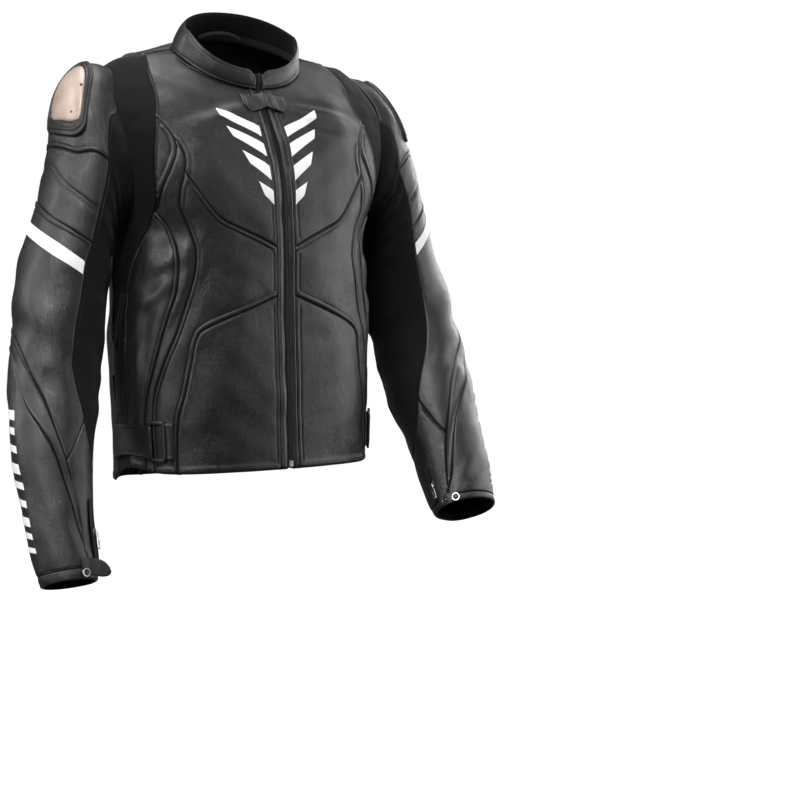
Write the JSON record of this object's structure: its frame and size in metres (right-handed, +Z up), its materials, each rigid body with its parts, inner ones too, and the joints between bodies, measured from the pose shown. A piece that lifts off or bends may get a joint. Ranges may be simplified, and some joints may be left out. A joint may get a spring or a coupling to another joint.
{
  "type": "motorcycle racing jacket",
  "caption": "Black leather motorcycle racing jacket, worn shape and hollow, with stand collar, stretch panels, shoulder plates and swinging zip pulls.",
  "frame": {"origin": "between the wearer's shoulders at the height of the front neck seam, where a wearer holds the jacket up", "axes": "+Z up, -Y to the wearer's front, +X to the wearer's left"},
  "size_m": [0.728, 0.3097, 0.7697],
  "materials": {
    "back_centre": "black cowhide, fine grain, semi-matt",
    "back_side_left": "black cowhide, fine grain, semi-matt",
    "back_side_right": "black cowhide, fine grain, semi-matt",
    "back_yoke": "black cowhide, fine grain, semi-matt",
    "collar": "black cowhide, fine grain, semi-matt",
    "cuff_left": "black cowhide, fine grain, semi-matt",
    "cuff_pull_left": "gunmetal",
    "cuff_pull_right": "gunmetal",
    "cuff_right": "black cowhide, fine grain, semi-matt",
    "cuff_tab_left": "black cowhide, fine grain, semi-matt",
    "cuff_tab_right": "black cowhide, fine grain, semi-matt",
    "cuff_zip_left": "black coil zip on woven tape",
    "cuff_zip_right": "black coil zip on woven tape",
    "forearm_inner_left": "black cowhide, fine grain, semi-matt",
    "forearm_inner_right": "black cowhide, fine grain, semi-matt",
    "forearm_outer_left": "black cowhide, fine grain, semi-matt",
    "forearm_outer_right": "black cowhide, fine grain, semi-matt",
    "forearm_strip_left": "black cowhide, fine grain, semi-matt",
    "forearm_strip_right": "black cowhide, fine grain, semi-matt",
    "front_armhole_left": "black cowhide, fine grain, semi-matt",
    "front_armhole_right": "black cowhide, fine grain, semi-matt",
    "front_band_left": "black cowhide, fine grain, semi-matt",
    "front_band_right": "black cowhide, fine grain, semi-matt",
    "front_chest_left": "black cowhide, fine grain, semi-matt",
    "front_chest_right": "black cowhide, fine grain, semi-matt",
    "front_lower_left": "black cowhide, fine grain, semi-matt",
    "front_lower_right": "black cowhide, fine grain, semi-matt",
    "front_middle_left": "black cowhide, fine grain, semi-matt",
    "front_middle_right": "black cowhide, fine grain, semi-matt",
    "front_side_left": "black cowhide, fine grain, semi-matt",
    "front_side_right": "black cowhide, fine grain, semi-matt",
    "front_zip": "black coil zip on woven tape",
    "neck_tab": "black moulded rubber, ribbed",
    "pocket_pull_left": "gunmetal",
    "pocket_pull_right": "gunmetal",
    "pocket_zip_left": "black coil zip on woven tape",
    "pocket_zip_right": "black coil zip on woven tape",
    "shoulder_plate_left": "satin metal skin, warm silver",
    "shoulder_plate_right": "satin metal skin, warm silver",
    "shoulder_rim_left": "black moulded rubber, ribbed",
    "shoulder_rim_right": "black moulded rubber, ribbed",
    "side_stretch_left": "black ribbed stretch cloth, matt",
    "side_stretch_right": "black ribbed stretch cloth, matt",
    "sleeve_cap_left": "black cowhide, fine grain, semi-matt",
    "sleeve_cap_right": "black cowhide, fine grain, semi-matt",
    "sleeve_elbow_left": "black cowhide, fine grain, semi-matt",
    "sleeve_elbow_right": "black cowhide, fine grain, semi-matt",
    "sleeve_stretch_left": "black ribbed stretch cloth, matt",
    "sleeve_stretch_right": "black ribbed stretch cloth, matt",
    "sleeve_upper_left": "black cowhide, fine grain, semi-matt",
    "sleeve_upper_right": "black cowhide, fine grain, semi-matt",
    "waist_buckle_left": "black moulded plastic",
    "waist_buckle_right": "black moulded plastic",
    "waist_strap_left": "black cowhide, fine grain, semi-matt",
    "waist_strap_right": "black cowhide, fine grain, semi-matt",
    "white_band_left": "white leather, smooth",
    "white_band_right": "white leather, smooth",
    "zip_placket_left": "black cowhide, fine grain, semi-matt",
    "zip_placket_right": "black cowhide, fine grain, semi-matt"
  },
  "bodies": {
    "jacket": {"back_centre": "back_centre", "back_side_left": "back_side_left", "back_side_right": "back_side_right", "back_yoke": "back_yoke", "collar": "collar", "cuff_left": "cuff_left", "cuff_right": "cuff_right", "cuff_tab_left": "cuff_tab_left", "cuff_tab_right": "cuff_tab_right", "cuff_zip_left": "cuff_zip_left", "cuff_zip_right": "cuff_zip_right", "forearm_inner_left": "forearm_inner_left", "forearm_inner_right": "forearm_inner_right", "forearm_outer_left": "forearm_outer_left", "forearm_outer_right": "forearm_outer_right", "forearm_strip_left": "forearm_strip_left", "forearm_strip_right": "forearm_strip_right", "front_armhole_left": "front_armhole_left", "front_armhole_right": "front_armhole_right", "front_band_left": "front_band_left", "front_band_right": "front_band_right", "front_chest_left": "front_chest_left", "front_chest_right": "front_chest_right", "front_lower_left": "front_lower_left", "front_lower_right": "front_lower_right", "front_middle_left": "front_middle_left", "front_middle_right": "front_middle_right", "front_side_left": "front_side_left", "front_side_right": "front_side_right", "front_zip": "front_zip", "neck_tab": "neck_tab", "pocket_zip_left": "pocket_zip_left", "pocket_zip_right": "pocket_zip_right", "shoulder_plate_left": "shoulder_plate_left", "shoulder_plate_right": "shoulder_plate_right", "shoulder_rim_left": "shoulder_rim_left", "shoulder_rim_right": "shoulder_rim_right", "side_stretch_left": "side_stretch_left", "side_stretch_right": "side_stretch_right", "sleeve_cap_left": "sleeve_cap_left", "sleeve_cap_right": "sleeve_cap_right", "sleeve_elbow_left": "sleeve_elbow_left", "sleeve_elbow_right": "sleeve_elbow_right", "sleeve_stretch_left": "sleeve_stretch_left", "sleeve_stretch_right": "sleeve_stretch_right", "sleeve_upper_left": "sleeve_upper_left", "sleeve_upper_right": "sleeve_upper_right", "waist_buckle_left": "waist_buckle_left", "waist_buckle_right": "waist_buckle_right", "waist_strap_left": "waist_strap_left", "waist_strap_right": "waist_strap_right", "white_band_left": "white_band_left", "white_band_right": "white_band_right", "zip_placket_left": "zip_placket_left", "zip_placket_right": "zip_placket_right"},
    "pocket_pull_right": {"pocket_pull_right": "pocket_pull_right"},
    "pocket_pull_left": {"pocket_pull_left": "pocket_pull_left"},
    "cuff_pull_right": {"cuff_pull_right": "cuff_pull_right"},
    "cuff_pull_left": {"cuff_pull_left": "cuff_pull_left"}
  },
  "joints": [
    {"name": "pocket_pull_right_swing", "type": "hinge", "parent": "jacket", "child": "pocket_pull_right", "pos_m": [-0.20047, 0.00588, -0.37938], "axis": [0.0192, 0.9998, 0], "range_deg": [0, 45]},
    {"name": "pocket_pull_left_swing", "type": "hinge", "parent": "jacket", "child": "pocket_pull_left", "pos_m": [0.20047, 0.00588, -0.37938], "axis": [0.0192, -0.9998, 0], "range_deg": [0, 45]},
    {"name": "cuff_pull_right_swing", "type": "hinge", "parent": "jacket", "child": "cuff_pull_right", "pos_m": [-0.29181, -0.10687, -0.61511], "axis": [-0.7929, -0.5777, 0.1938], "range_deg": [0, 120]},
    {"name": "cuff_pull_left_swing", "type": "hinge", "parent": "jacket", "child": "cuff_pull_left", "pos_m": [0.22744, -0.14002, -0.58702], "axis": [-0.2144, 0.8323, -0.5113], "range_deg": [0, 120]}
  ]
}
